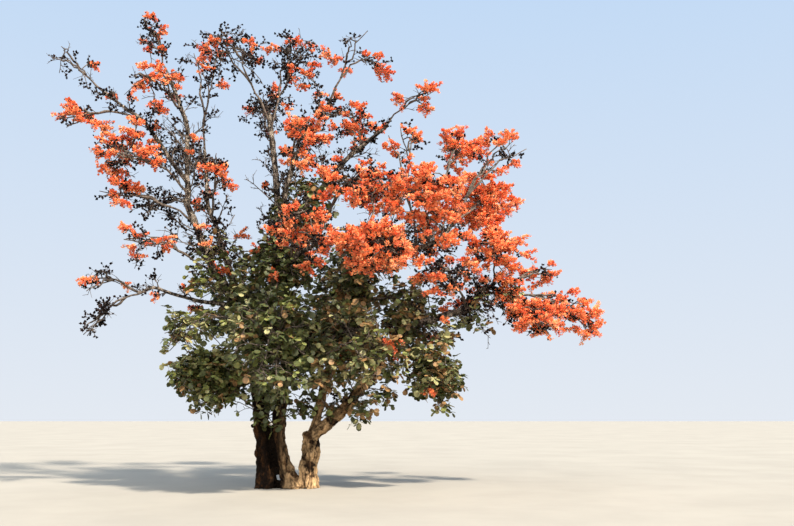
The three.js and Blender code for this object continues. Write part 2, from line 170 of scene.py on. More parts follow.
# Limbs as in the solids: name, the limb that it leaves and the share of it, the points that it
# passes on the way to its tip, and its radii at root and tip. The three stems start in the ground.
limbRows = [
    ("stem_left", None, 0, [(-0.37, 0.02, -0.15), (-0.43, 0.01, 0.75), (-0.57, 0.05, 1.7),
     (-0.71, 0.0, 3.15)], (0.208, 0.14)),
    ("stem_middle", None, 0, [(0.18, -0.05, -0.15), (-0.115, -0.03, 0.75), (-0.15, -0.04, 1.5),
     (0.05, 0.1, 2.65), (1.0, 0.5, 3.9)], (0.178, 0.085)),
    ("stem_right", None, 0, [(0.44, 0.0, -0.15), (0.49, 0.0, 0.6), (0.54, -0.03, 1.08)], (0.188, 0.172)),
    ("fork_outer", "stem_right", 0.95, [(1.3, -0.15, 1.68), (1.72, -0.27, 2.3), (2.47, -0.4, 3.32)],
     (0.14, 0.08)),
    ("fork_inner", "stem_right", 0.93, [(0.79, 0.0, 2.05), (1.22, -0.4, 3.5), (1.44, -0.7, 4.22)],
     (0.095, 0.062)),
    ("leader", "stem_left", 0.98, [(-0.23, 0.12, 4.9), (-0.3, 0.2, 6.0), (-0.6, 0.3, 8.2)], (0.12, 0.05)),
    ("bough_left", "stem_left", 0.97, [(-1.4, -0.15, 4.2), (-1.7, -0.2, 4.75), (-2.26, -0.3, 6.05)],
     (0.1, 0.062)),
    ("bough_left_inner", "stem_left", 0.95, [(-1.4, 0.3, 4.78), (-1.9, 0.5, 6.05), (-2.1, 0.6, 7.45)],
     (0.06, 0.032)),
    ("bough_left_upright", "bough_left", 0.97, [(-2.22, -0.3, 6.7), (-2.3, -0.3, 7.7),
     (-2.72, -0.3, 8.8)], (0.058, 0.032)),
    ("bough_left_outer", "bough_left_upright", 0.22, [(-3.15, -0.45, 7.65), (-4.05, -0.55, 8.38)],
     (0.042, 0.026)),
    ("bough_low_left", "bough_left", 0.2, [(-1.8, -0.2, 3.85), (-2.7, -0.33, 4.08), (-3.15, -0.35, 4.0)],
     (0.042, 0.024)),
    ("bough_top_right", "leader", 0.52, [(-0.05, 0.0, 6.75), (0.52, -0.3, 7.65), (0.85, -0.4, 8.25)],
     (0.062, 0.032)),
    ("bough_right_up", "leader", 0.38, [(0.26, 0.3, 5.95), (1.02, 0.7, 7.14), (2.1, 0.8, 8.1)],
     (0.078, 0.034)),
    ("bough_front", "leader", 0.22, [(-0.02, -0.5, 4.6), (0.9, -1.9, 4.85)], (0.066, 0.036)),
    ("bough_right", "fork_inner", 0.97, [(1.96, -1.0, 4.95), (2.9, -1.2, 4.85), (3.55, -0.8, 5.45)],
     (0.058, 0.032)),
    ("bough_right_low", "fork_outer", 0.97, [(3.75, -0.28, 3.72), (4.21, -0.2, 4.11), (4.7, -0.1, 4.05)],
     (0.072, 0.034)),
    ("bough_back", "stem_middle", 0.97, [(1.3, 1.6, 5.0), (1.65, 2.45, 6.2)], (0.074, 0.036)),
]

limbPlan = dict(
    step=0.09, fewest=8, crook=0.035, trunkCrook=0.012, seed=100, knot=0.07, knotWaves=(5, 2.3),
    knotPhase=6)


# Grows the limbs first, so that all else can start on them.
def growLimbs():
    limbs = {}
    for number, (name, parent, at, points, (rootRadius, tipRadius)) in enumerate(limbRows):
        if parent:
            points = [alongPaths(limbs[parent]["path"][None], np.array([at]))[0][0], *points]
        length = np.linalg.norm(np.diff(np.array(points), axis=0), axis=1).sum()
        count = max(limbPlan["fewest"], int(length / limbPlan["step"]))
        rng = np.random.RandomState(limbPlan["seed"] + number)
        amount = limbPlan["crook"] if parent else limbPlan["trunkCrook"]
        path = crooked(smoothPath(points, count)[None], [amount], rng)[0]
        share = np.linspace(0, 1, count)
        waves, slowWaves = limbPlan["knotWaves"]
        swelling = np.sin(share * length * waves + rng.uniform(0, limbPlan["knotPhase"]))
        knots = 1 + limbPlan["knot"] * swelling * np.sin(share * length * slowWaves)
        radii = (rootRadius + (tipRadius - rootRadius) * share) * knots
        limbs[name] = {"path": path, "radii": radii, "length": length, "rooted": not parent}
    return limbs


limbs = growLimbs()
print("stage: limbs grown", len(limbs))

# Masses as in the solids, named without the crown_ or leaves_ in front: kind, limb, share of the limb,
# centre and radii of its space, how full of twigs it is, and the share of its twigs that flower
massRows = [
    ("far_left", "budded", "bough_left_outer", 0.96, (-4.6, -0.6, 8.75), (0.68, 0.7, 0.88), 0.15, 0.18),
    ("left_wing", "blossom", "bough_left_outer", 0.55, (-4.25, -1.0, 7.6), (0.6, 0.5, 0.33), 0.1, 0.6),
    ("peak", "budded", "bough_left_upright", 0.96, (-3.05, -0.4, 9.55), (0.4, 0.6, 0.9), 0.5, 0.2),
    ("peak_skirt", "blossom", "bough_left_upright", 0.75, (-2.75, -1, 8.25), (0.75, 0.65, 0.48),
     0.62, 0.55),
    ("inner_spike", "budded", "bough_left_inner", 0.97, (-2.25, 0.9, 9.5), (0.42, 0.6, 0.8), 0.42, 0.22),
    ("left_flowers", "blossom", "bough_left_upright", 0.12, (-3.32, -1.1, 6.75), (0.72, 0.6, 0.5), 1, 0.55),
    ("left_fringe", "blossom", "bough_left", 0.88, (-3.55, -0.6, 6.0), (0.5, 0.45, 0.45), 0.26, 0.34),
    ("left_inside", "budded", "bough_left_inner", 0.65, (-3.2, 1.4, 6.3), (0.7, 0.7, 0.65), 0.6, 0.0),
    ("inner_flowers", "blossom", "bough_left_inner", 0.6, (-1.5, -0.5, 6.5), (0.45, 0.5, 0.55), 0.12, 0.6),
    ("low_left", "blossom", "bough_left", 0.5, (-2.82, -0.9, 4.85), (0.6, 0.55, 0.4), 0.55, 0.22),
    ("lowest_left", "budded", "bough_low_left", 0.96, (-3.85, -0.35, 4.2), (0.6, 0.5, 0.35), 0.07, 0.14),
    ("left_droop", "budded", "bough_low_left", 0.85, (-3.85, -0.5, 3.35), (0.45, 0.45, 0.42), 0.2, 0.0),
    ("top_left", "budded", "leader", 0.96, (-1.3, -0.3, 9.3), (0.85, 0.8, 0.75), 0.85, 0.1),
    ("top_middle", "budded", "leader", 0.94, (-0.05, 0.9, 9.7), (0.75, 0.75, 0.75), 1.3, 0.1),
    ("top_right", "blossom", "bough_top_right", 0.96, (1.4, -0.6, 9.25), (0.7, 0.65, 0.6), 0.34, 0.42),
    ("front_heart", "blossom", "bough_top_right", 0.35, (0.45, -2.1, 6.7), (0.55, 0.65, 0.75), 0.75, 0.36),
    ("back_heart", "blossom", "bough_right_up", 0.78, (1.2, 1.9, 8.45), (0.85, 0.75, 0.65), 0.65, 0.42),
    ("right_crest", "blossom", "bough_right_up", 0.96, (2.75, 0.5, 8.5), (0.65, 0.55, 0.38), 0.46, 0.7),
    ("right_column", "blossom", "bough_right", 0.6, (2.45, -1.0, 6.85), (0.45, 0.55, 0.7), 0.3, 0.42),
    ("right_fan", "blossom", "bough_right", 0.8, (3.7, 1.1, 7.6), (0.65, 0.7, 0.65), 0.68, 0.6),
    ("right_point", "blossom", "bough_right", 0.93, (4.6, -0.3, 7.15), (0.62, 0.65, 0.62), 0.24, 0.6),
    ("front_arch", "blossom", "bough_front", 0.8, (1.4, -2.5, 5.65), (0.8, 0.65, 0.43), 0.58, 0.38),
    ("front_cloud", "blossom", "bough_front", 0.96, (1.9, -3.05, 4.4), (0.78, 0.7, 0.62), 2.3, 0.47),
    ("centre_band", "blossom", "bough_front", 0.6, (0.45, -2.9, 4.85), (0.65, 0.6, 0.4), 1.15, 0.5),
    ("right_cloud", "blossom", "bough_right", 0.7, (2.9, -2.0, 5.55), (0.85, 0.75, 0.68), 1.0, 0.85),
    ("right_shoulder", "blossom", "bough_right", 0.97, (4.25, 0.3, 5.95), (0.85, 0.8, 0.7), 1.15, 0.97),
    ("right_hanging", "blossom", "bough_right_low", 0.75, (4.35, -0.7, 4.75), (0.8, 0.65, 0.68), 0.82, 0.8),
    ("right_wing", "blossom", "bough_right_low", 0.95, (5.45, 0.9, 4.5), (0.55, 0.6, 0.38), 0.22, 0.5),
    ("right_skirt", "blossom", "bough_right_low", 0.9, (5.1, -0.7, 3.4), (0.7, 0.65, 0.48), 2.3, 0.5),
    ("right_tip", "blossom", "bough_right_low", 0.97, (6.15, -0.1, 3.5), (0.55, 0.55, 0.52), 0.95, 0.62),
    ("right_inside", "blossom", "bough_right_low", 0.35, (3.2, -1.5, 4.08), (0.75, 0.55, 0.5), 1.4, 0.2),
    ("back_left", "budded", "bough_left_inner", 0.9, (-3.25, 2.3, 7.8), (0.9, 0.95, 0.85), 0.6, 0.0),
    ("back_top", "budded", "leader", 0.85, (-0.9, 2.4, 8.9), (0.95, 0.95, 0.8), 0.85, 0.12),
    ("back_right", "blossom", "bough_back", 0.96, (1.8, 3.3, 7.1), (1.0, 0.95, 0.8), 1.0, 0.48),
    ("back_low_right", "blossom", "bough_back", 0.8, (3.15, 2.7, 5.7), (0.95, 0.9, 0.75), 1.35, 0.06),
    ("left", "leafy", "bough_left", 0.12, (-1.7, -0.7, 3.25), (0.88, 0.95, 0.85), 0.5, 0.0),
    ("left_low", "leafy", "stem_left", 0.6, (-1.5, -0.45, 2.25), (0.85, 0.9, 0.65), 4.0, 0.0),
    ("front", "leafy", "bough_front", 0.3, (0.05, -1.95, 2.85), (0.95, 0.95, 1.3), 2.1, 0.005),
    ("centre_right", "leafy", "fork_inner", 0.55, (1.4, -1.6, 2.75), (0.95, 0.85, 1.15), 1.6, 0.04),
    ("right", "leafy", "fork_inner", 0.8, (2.5, 0.2, 3.65), (0.85, 0.85, 0.8), 1.1, 0.05),
    ("hanging", "leafy", "fork_outer", 0.8, (3.05, -0.9, 2.25), (0.6, 0.65, 0.72), 2.3, 0.02),
    ("back_left", "leafy", "stem_left", 0.9, (-1.5, 1.9, 3.9), (1.05, 1.05, 1.05), 0.7, 0.0),
    ("back_right", "leafy", "stem_middle", 0.8, (0.95, 2.4, 3.5), (1.1, 1.1, 1.05), 1.1, 0.0),
]

massNames = [("leaves_" if row[1] == "leafy" else "crown_") + row[0] for row in massRows]
massCentres = np.array([row[4] for row in massRows])
massRadii = np.array([row[5] for row in massRows])

# What grows in each kind of mass: extra stems, main twigs and side twigs on each, with the shares of
# the twigs' ends that stay in bud or bear leaves. Flat lays the twigs in level sprays, lift raises
# their tips, and ragged is how far in or out of the mass's space they may end. Loose kinds grow on
# the limbs between the masses, spaced along them, and raceme is the share of their ends in flower.
massKind = dict(stems=2, mains=14, sides=4, leaf=0)
looseKind = dict(sides=4, leaf=0, flat=0.8, spacing=0.17, reach=(0.35, 0.95))
kindPlan = {
    "blossom": dict(massKind, bud=0.6, lift=0.1, flat=0.45, sideShare=0.6, ragged=(0.75, 1.1)),
    "budded": dict(massKind, mains=12, bud=0.7, lift=0.3, flat=0.8, sideShare=0.6, ragged=(0.75, 1.15)),
    "leafy": dict(massKind, bud=0, leaf=0.8, lift=-0.15, flat=1, sideShare=0.65, ragged=(0.5, 1.22)),
    "wild": dict(looseKind, raceme=0.05, bud=0.45, lift=0.3, sideShare=0.5),
    "wildLeafy": dict(looseKind, sides=3, raceme=0, bud=0.05, leaf=0.75, lift=-0.1, flat=1, sideShare=0.55),
    "understorey": dict(looseKind, raceme=0.01, bud=0.3, leaf=0.6, lift=-0.35, flat=0.9, sideShare=0.6),
    "drooping": dict(looseKind, raceme=0.06, bud=0.35, leaf=0.2, lift=-0.9, sideShare=0.5),
    "thicket": dict(looseKind, raceme=0.2, bud=0.35, leaf=0.06, lift=-0.2, sideShare=0.55),
    "straying": dict(looseKind, sides=5, raceme=0.04, bud=0.32, lift=0.3, sideShare=0.35, spacing=0.38,
                     reach=(0.9, 1.6)),
}

# What the last, finest twigs do at the end of a twig that flowers, stays in bud, bears leaves or is bare
sprayPlan = {
    "raceme": dict(each=4, span=(0.16, 0.36), first=0.45, forward=0.9, flat=0.38, lift=0.04),
    "bud": dict(each=2, span=(0.1, 0.24), first=0.2, forward=0.9, flat=0.8, lift=0.3),
    "leaf": dict(each=3, span=(0.14, 0.28), first=0.15, forward=0.8, flat=1, lift=-0.15),
    "bare": dict(each=2, span=(0.1, 0.24), first=0.2, forward=0.95, flat=0.9, lift=0.25),
}

# Stretches of limb, as shares, along which loose twigs leave them
wildStretches = {
    "wild": {"leader": (0.3, 0.98), "bough_left": (0.35, 0.97), "bough_left_inner": (0.3, 0.97),
        "bough_left_upright": (0.05, 0.97), "bough_left_outer": (0.15, 0.97),
        "bough_low_left": (0.25, 0.97), "bough_top_right": (0.2, 0.97), "bough_right_up": (0.2, 0.97),
        "bough_front": (0.3, 0.97), "bough_right": (0.2, 0.97), "bough_right_low": (0.2, 0.97),
        "bough_back": (0.3, 0.97)},
    "wildLeafy": {"stem_left": (0.5, 1.0), "stem_middle": (0.38, 0.95), "leader": (0.02, 0.34),
        "bough_left": (0.02, 0.5), "bough_left_inner": (0.05, 0.35), "fork_inner": (0.08, 0.98),
        "fork_outer": (0.2, 0.95), "bough_front": (0.0, 0.5), "bough_right_up": (0.0, 0.45),
        "bough_back": (0.0, 0.5), "bough_right": (0.0, 0.15)},
    "understorey": {"leader": (0.05, 0.38), "fork_inner": (0.4, 0.98), "bough_right": (0.0, 0.2),
        "bough_front": (0.05, 0.55), "bough_right_up": (0.02, 0.35), "stem_middle": (0.7, 0.98),
        "bough_right_low": (0.0, 0.3), "bough_back": (0.0, 0.6)},
    "drooping": {"bough_right_low": (0.05, 0.95), "fork_outer": (0.8, 1.0)},
    "thicket": {"bough_right": (0.15, 0.95), "bough_right_low": (0.0, 0.8), "bough_front": (0.4, 0.95)},
    "straying": {"leader": (0.08, 0.85), "bough_left_inner": (0.2, 0.9), "bough_left_upright": (0.1, 0.7),
        "bough_left": (0.5, 0.95), "bough_top_right": (0.2, 0.8), "bough_right_up": (0.25, 0.9)},
}


# True where a point lies deepest in the space of its own mass
def inOwnSpace(own, points, limit):
    depth = np.linalg.norm((points[:, None] - massCentres) / massRadii, axis=2)
    return (depth[:, own] <= limit) & (np.argmin(depth, axis=1) == own)


# Directions spread evenly over a ball, by the golden angle
def evenDirections(count, phase):
    i = np.arange(count)
    height = 1 - 2 * (i + 0.5) / count
    ring = np.sqrt(1 - height ** 2)
    angle = i * goldenAngle + phase
    return np.stack([ring * np.cos(angle), ring * np.sin(angle), height], 1)


growth = dict(
    stemSamples=12, mainSamples=6, sideSamples=3, spurSamples=2, seed=500, stemSpread=0.9, stemEnd=0.9,
    stemBow=0.1, stemCrook=0.03, leadCrook=0.02, forkCrook=0.01, forkAt=(0.2, 0.6), stemTwigSpacing=0.6,
    stemTwig=0.36, stemTwigSpan=(0.25, 0.95), stemTwigForward=0.7, stemTwigFlowers=0.5, usualRadius=0.64,
    mainFewest=3, mainFrom=0.15, mainEntry=1.7, mainTo=0.92, mainReach=(0.55, 0.98), mainBow=0.12,
    mainCrook=0.06, bridges=3, bridgeNear=2.1, bridgeLimit=1.9, bridgeFrom=0.12, bridgeTo=(0.42, 0.6),
    strayFrom=0.2, strayTo=0.35, bridgeTwigs=2, denseFrom=0.95, denseTwigs=3, sideSpan=(0.2, 1.0),
    sideForward=0.8, twigJitter=0.8, twigTurn=6.3, twigLongest=1.1, twigShorten=0.55,
    twigSpread=(0.65, 1.2), twigBow=0.06, twigCrook=0.035, wildForward=0.9, wildSeed=900)
woodPaths = {"stems": [], "mains": [], "sides": []}
sprayPaths = {kind: [] for kind in sprayPlan}
budLines = []


# Twigs that leave others to all sides in turn, shorter towards the tip, and how far they reach
def sideTwigs(parents, each, lengths, span, forward, plan, samples, rng):
    count = len(parents)
    first, last = span
    number = np.tile(np.arange(each), count)
    owner = np.repeat(np.arange(count), each)
    shares = first + (last - first) * (number + rng.uniform(0, growth["twigJitter"], count * each)) / each
    roots, tangents = alongPaths(parents[owner], shares)
    turn = number * goldenAngle + np.repeat(rng.uniform(0, growth["twigTurn"], count), each)
    axes = framesAlong(tangents, turn)
    directions = (axes[:, :, 0] * forward + axes[:, :, 1]) * [1, 1, plan["flat"]]
    directions = unit(directions + [0, 0, plan["lift"]])
    reach = lengths[owner] * (growth["twigLongest"] - growth["twigShorten"] * shares)
    reach = reach * rng.uniform(*growth["twigSpread"], count * each)
    straight = bowedPaths(roots, roots + directions * reach[:, None], growth["twigBow"], samples)
    return crooked(straight, reach * growth["twigCrook"], rng), reach


# Side twigs on main twigs, and what they and the main twigs' ends bear
def growOnward(mains, mainLengths, plan, own, limit, flowering, rng):
    sides, _ = sideTwigs(mains, plan["sides"], mainLengths * plan["sideShare"], growth["sideSpan"],
                         growth["sideForward"], plan, growth["sideSamples"], rng)
    bearers = np.concatenate([sides, mains[:, -growth["sideSamples"]:]])
    kept = np.full(len(bearers), True)
    if own is not None:
        kept = inOwnSpace(own, bearers[:, -1], limit * rng.uniform(*plan["ragged"], len(bearers)))
    woodPaths["sides"].append(sides[kept[:len(sides)]])
    bearTwigs(bearers[kept], plan, flowering, rng)


# Each twig's end flowers, stays in bud, bears leaves or stays bare, so that blossom comes in tufts
# with gaps between them.
def bearTwigs(bearers, plan, flowering, rng):
    draw = rng.rand(len(bearers))
    inBud = flowering + (1 - flowering) * plan["bud"]
    inLeaf = inBud + (1 - flowering) * plan["leaf"]
    fate = np.searchsorted([flowering, inBud, inLeaf], draw, side="right")
    for number, (kind, spray) in enumerate(sprayPlan.items()):
        chosen = fate == number
        if chosen.any():
            spans = rng.uniform(*spray["span"], chosen.sum())
            twigs, _ = sideTwigs(bearers[chosen], spray["each"], spans, (spray["first"], 1.0),
                                 spray["forward"], spray, growth["spurSamples"], rng)
            sprayPaths[kind].append(twigs)
            if kind == "bud":
                budLines.append(bearers[chosen])


# Main twigs from their roots to where they reach, as far as that lies in the mass's own space
def growMains(roots, reach, plan, own, limit, flowering, rng):
    kept = inOwnSpace(own, reach, limit * rng.uniform(*plan["ragged"], len(reach)))
    roots, reach = roots[kept], reach[kept]
    lengths = np.linalg.norm(reach - roots, axis=1)
    straight = bowedPaths(roots, reach, growth["mainBow"], growth["mainSamples"])
    paths = crooked(straight, growth["mainCrook"] * lengths, rng)
    woodPaths["mains"].append(paths)
    growOnward(paths, lengths, plan, own, limit, flowering, rng)


# The stems of a mass: one that leads into it from the limb, and others that fork from that one
def growStems(start, centre, radii, onward, plan, rng):
    spread = growth["stemSpread"]
    aims = unit(onward + rng.uniform(-spread, spread, (plan["stems"], 3)))
    aims = np.concatenate([onward[None], aims])
    tips = centre + aims * (growth["stemEnd"] / np.linalg.norm(aims / radii, axis=1))[:, None]
    length = np.linalg.norm(tips[0] - start[0])
    bow, samples, crook = growth["stemBow"], growth["stemSamples"], growth["stemCrook"]
    leading = crooked(bowedPaths(start, tips[:1], bow, samples), crook + growth["leadCrook"] * length, rng)
    forkShares = rng.uniform(*growth["forkAt"], plan["stems"])
    starts = alongPaths(np.repeat(leading, plan["stems"], 0), forkShares)[0]
    forks = crooked(bowedPaths(starts, tips[1:], bow, samples), crook + growth["forkCrook"] * length, rng)
    return np.concatenate([leading, forks]), length


# Grows one mass by the rule of the solids, and carries it two levels further. Some twigs bridge
# the way to the nearest masses of its sort, so that the crown closes where those crowd together.
def growMass(number, row):
    _, kind, limb, at, centre, radii, twigs, flowering = row
    plan = kindPlan[kind]
    rng = np.random.RandomState(growth["seed"] + number)
    centre, radii = np.array(centre), np.array(radii)
    start = alongPaths(limbs[limb]["path"][None], np.array([at]))[0]
    onward = unit(centre - start[0])
    stems, length = growStems(start, centre, radii, onward, plan, rng)
    woodPaths["stems"].append(stems)

    size = (radii.mean() / growth["usualRadius"]) ** 2
    mains = max(growth["mainFewest"], round(plan["mains"] * twigs * size))
    directions = evenDirections(mains, number + 1)
    outward = (directions @ onward + 1) / 2
    entry = max(growth["mainFrom"], 1 - growth["mainEntry"] * radii.mean() / length)
    shares = entry + (growth["mainTo"] - entry) * outward
    roots = alongPaths(stems[np.arange(mains) % len(stems)], shares)[0]
    reach = centre + radii * directions * rng.uniform(*growth["mainReach"], (mains, 1))
    growMains(roots, reach, plan, number, 1.0, flowering, rng)

    gaps = np.linalg.norm(massCentres - centre, axis=1)
    sort = np.array([(other[1] == "leafy") == (kind == "leafy") for other in massRows])
    near = np.where(sort & (gaps > 0) & (gaps < growth["bridgeNear"]))[0]
    near = near[np.argsort(gaps[near])][:round(growth["bridges"] * min(1, twigs))]
    if len(near):
        dense = twigs > growth["denseFrom"]
        aims = np.repeat(massCentres[near], growth["denseTwigs" if dense else "bridgeTwigs"], 0)
        stray = rng.uniform(-growth["strayFrom"], growth["strayFrom"], aims.shape)
        roots = centre + (aims - centre) * growth["bridgeFrom"] + stray * radii
        reach = centre + (aims - centre) * rng.uniform(*growth["bridgeTo"], (len(aims), 1))
        reach = reach + rng.uniform(-growth["strayTo"], growth["strayTo"], aims.shape) * radii
        growMains(roots, reach, plan, number, growth["bridgeLimit"], flowering, rng)

    each = max(1, round(length / growth["stemTwigSpacing"]))
    short, _ = sideTwigs(stems, each, np.full(len(stems), growth["stemTwig"]), growth["stemTwigSpan"],
                         growth["stemTwigForward"], plan, growth["sideSamples"], rng)
    woodPaths["sides"].append(short)
    bearTwigs(short, plan, flowering * growth["stemTwigFlowers"], rng)


# Lets loose twigs leave the limbs between the masses.
def growWild(kind, name, stretch, seed):
    rng = np.random.RandomState(seed)
    limb = limbs[name]
    plan = kindPlan[kind]
    count = max(2, int(limb["length"] * (stretch[1] - stretch[0]) / plan["spacing"]))
    lengths = rng.uniform(*plan["reach"], 1)
    mains, reach = sideTwigs(limb["path"][None], count, lengths, stretch, growth["wildForward"], plan,
                             growth["mainSamples"], rng)
    woodPaths["mains"].append(mains)
    growOnward(mains, reach, plan, None, 0, plan["raceme"], rng)


for number, row in enumerate(massRows):
    growMass(number, row)
seed = growth["wildSeed"]
for kind, stretches in wildStretches.items():
    for name, stretch in stretches.items():
        growWild(kind, name, stretch, seed)
        seed += 1
wood = {level: np.concatenate(paths) for level, paths in woodPaths.items()}
sprays = {kind: np.concatenate(rows) for kind, rows in sprayPaths.items()}
wood["spurs"] = np.concatenate(list(sprays.values()))
print("stage: twigs grown", {level: len(paths) for level, paths in wood.items()},
      {kind: len(rows) for kind, rows in sprays.items()})


def active():
    return bpy.context.view_layer.objects.active


def selectOnly(*pieces):
    bpy.ops.object.select_all(action="DESELECT")
    for piece in pieces:
        piece.select_set(True)
    bpy.context.view_layer.objects.active = pieces[0]


# Applies a modifier after its settings are given.
def finishWith(piece, kind, **settings):
    modifier = piece.modifiers.new(kind.title(), kind)
    for key, value in settings.items():
        setattr(modifier, key, value)
    selectOnly(piece)
    bpy.ops.object.modifier_apply(modifier=modifier.name)


# One limb as a curve with its own thickness at each point, turned into a mesh
def limbMesh(name, path, radii, plan):
    curve = bpy.data.curves.new(name, "CURVE")
    curve.dimensions = "3D"
    spline = curve.splines.new("POLY")
    spline.points.add(len(path) - 1)
    spline.points.foreach_set("co", np.column_stack([path, np.ones(len(path))]).ravel())
    spline.points.foreach_set("radius", radii)
    curve.bevel_depth = 1.0
    curve.bevel_resolution = plan["roundness"]
    curve.use_fill_caps = True
    selectOnly(newObject(name, curve))
    bpy.ops.object.convert(target="MESH")
    return active()


# Bark with its relief: limbs joined, remeshed as one skin, then pushed in and out along the normals.
# The hollow is the one between the left and the middle stem; its darkness is painted shade.
barkPlan = dict(
    seed=11, roundness=5, voxel=0.019, smoothing=3, batch=4000, flareHeight=0.21, flareGain=0.4, ridges=5,
    ridgeDepth=0.15, ridgeFade=2.2, ridgeTop=1.4, outset=0.010, lump=0.040, lumpScale=3.6, lumpFine=2.7,
    lumpFineShare=0.5, lumpPaintedLight=0.25, furrow=0.034, furrowScale=11, furrowFine=2.6, fineShare=0.3,
    furrowPaintedShade=0.75, stretch=0.78, fullRadius=0.15, leastRelief=0.25, mostRelief=1.2, knots=46,
    knotSize=0.62, knotSpread=(0.6, 1.15), knotDepth=0.75, hollow=(-0.26, -0.14, 0.72), hollowSlope=-0.2,
    hollowSize=(0.075, 0.22, 0.62), hollowDepth=0.14, hollowPaintedShade=1.3)
boughPlan = dict(barkPlan, seed=12, voxel=0.023, smoothing=2, lump=0.018, furrow=0.014, knots=60)
stubPath = np.array([(-0.50, -0.03, 1.14), (-0.64, -0.05, 1.22), (-0.70, -0.06, 1.27)])
stubRadii = np.array([0.045, 0.034, 0.024])
thickLimbs = ["stem_left", "stem_middle", "stem_right", "fork_outer", "fork_inner"]
thinLimbs = [name for name in limbs if name not in thickLimbs]
footNodes = ["trunk_foot", "stem_left", "stem_middle", "fork_outer", "fork_inner"]


def cutFlat(piece):
    selectOnly(piece)
    bpy.ops.object.mode_set(mode="EDIT")
    bpy.ops.mesh.select_all(action="SELECT")
    bpy.ops.mesh.bisect(plane_co=(0, 0, 0), plane_no=(0, 0, 1), clear_inner=True, use_fill=True)
    bpy.ops.object.mode_set(mode="OBJECT")


def noiseAt(places, scale, finer=1):
    return np.array([noise.noise(Vector(p) * scale * finer) for p in places])


# Moves each point of the bark along its normal by lumps, long furrows, the hollow and, low down, buttress
# ridges, and marks painted shade where the bark is sunk, in the furrows and the hollow, with painted light
# on the raised lumps.
def addRelief(piece, names, plan):
    points = np.concatenate([limbs[name]["path"] for name in names])
    along = np.concatenate([unit(np.gradient(limbs[name]["path"], axis=0)) for name in names])
    thick = np.concatenate([limbs[name]["radii"] for name in names])
    mesh = piece.data
    count = len(mesh.vertices)
    places = np.empty(count * 3)
    normals = np.empty(count * 3)
    mesh.vertices.foreach_get("co", places)
    mesh.vertices.foreach_get("normal", normals)
    places, normals = places.reshape(-1, 3), normals.reshape(-1, 3)
    batches = np.array_split(places, max(1, count // plan["batch"]))
    nearest = np.concatenate([np.argmin(np.linalg.norm(batch[:, None] - points, axis=2), axis=1)
                              for batch in batches])
    run = along[nearest]
    radius = thick[nearest]
    flat = places - run * np.sum(places * run, axis=1, keepdims=True) * plan["stretch"]
    lumps = noiseAt(places, plan["lumpScale"])
    lumps += plan["lumpFineShare"] * noiseAt(places, plan["lumpScale"], plan["lumpFine"])
    furrows = 1 - abs(noiseAt(flat, plan["furrowScale"])) * 2
    fine = noiseAt(flat, plan["furrowScale"], plan["furrowFine"])
    scale = np.clip(radius / plan["fullRadius"], plan["leastRelief"], plan["mostRelief"])
    sunk = plan["furrow"] * np.clip(furrows, 0, 1) ** 3
    shift = scale * (plan["lump"] * lumps - sunk + plan["fineShare"] * plan["furrow"] * fine)
    arm = places - points[nearest]
    angle = np.arctan2(arm[:, 1], arm[:, 0])
    height = places[:, 2]
    low = np.exp(-height / (plan["ridgeFade"] * plan["flareHeight"])) * (height < plan["ridgeTop"])
    shift += radius * plan["ridgeDepth"] * low * np.cos(plan["ridges"] * angle)
    arm = places - plan["hollow"]
    arm[:, 0] -= arm[:, 2] * plan["hollowSlope"]
    away = np.linalg.norm(arm / plan["hollowSize"], axis=1)
    shift += plan["outset"] - plan["hollowDepth"] * np.exp(-away ** 2)
    # Painted shade: darker in the furrows and the hollow, lighter on the raised lumps
    paintedShade = plan["furrowPaintedShade"] * np.clip(furrows, 0, 1) ** 2 + plan["hollowPaintedShade"] * np.exp(-away ** 2)
    paintedShade = np.clip(paintedShade - plan["lumpPaintedLight"] * lumps, 0, 1)
    marks = mesh.attributes.new("paintedShade", "FLOAT", "POINT")
    marks.data.foreach_set("value", paintedShade.astype(np.float32))
    places += normals * shift[:, None]
    places[:, 2] = np.maximum(places[:, 2], 0)
    mesh.vertices.foreach_set("co", places.ravel())
    mesh.update()


def makeBark(name, names, plan):
    rng = np.random.RandomState(plan["seed"])
    parts = []
    for limbName in names:
        limb = limbs[limbName]
        radii = limb["radii"].copy()
        if limb["rooted"]:
            height = np.maximum(limb["path"][:, 2], 0)
            radii *= 1 + plan["flareGain"] * np.exp(-height / plan["flareHeight"])
        parts.append(limbMesh(limbName + "_skin", limb["path"], radii, plan))
    if "stem_left" in names:
        parts.append(limbMesh("broken_stub", stubPath, stubRadii, plan))
    for number in range(plan["knots"]):
        limb = limbs[names[rng.randint(len(names))]]
        i = rng.randint(2, len(limb["path"]) - 2)
        size = limb["radii"][i] * plan["knotSize"] * rng.uniform(*plan["knotSpread"])
        place = limb["path"][i] + unit(rng.normal(size=3)) * limb["radii"][i] * plan["knotDepth"]
        if place[2] > size:
            bpy.ops.mesh.primitive_ico_sphere_add(subdivisions=2, radius=size, location=place)
            parts.append(active())
    selectOnly(*parts)
    bpy.ops.object.join()
    piece = active()
    piece.name = name
    piece.data.name = name
    if "stem_left" in names:
        cutFlat(piece)
    finishWith(piece, "REMESH", mode="VOXEL", voxel_size=plan["voxel"], use_smooth_shade=True)
    finishWith(piece, "SMOOTH", factor=0.5, iterations=plan["smoothing"])
    addRelief(piece, names, plan)
    return piece


trunk = makeBark("trunk_and_forks", thickLimbs, barkPlan)
boughs = makeBark("boughs", thinLimbs, boughPlan)
print("stage: bark made", len(trunk.data.polygons), len(boughs.data.polygons))


# Twigs, thick at the root and thin at the tip, each level in its own number of sides
twigPlan = dict(
    seed=21, stems=(0.027, 0.009), mains=(0.014, 0.007), sides=(0.0085, 0.005), spurs=(0.006, 0.004),
    knot=0.18, corners=dict(stems=5, mains=4, sides=3, spurs=3))


def twigTubes(level, rng):
    paths = wood[level]
    root, tip = twigPlan[level]
    share = np.linspace(0, 1, paths.shape[1])
    knots = 1 + twigPlan["knot"] * rng.uniform(-1, 1, paths.shape[:2])
    return tubes(paths, (root + (tip - root) * share) * knots, twigPlan["corners"][level])


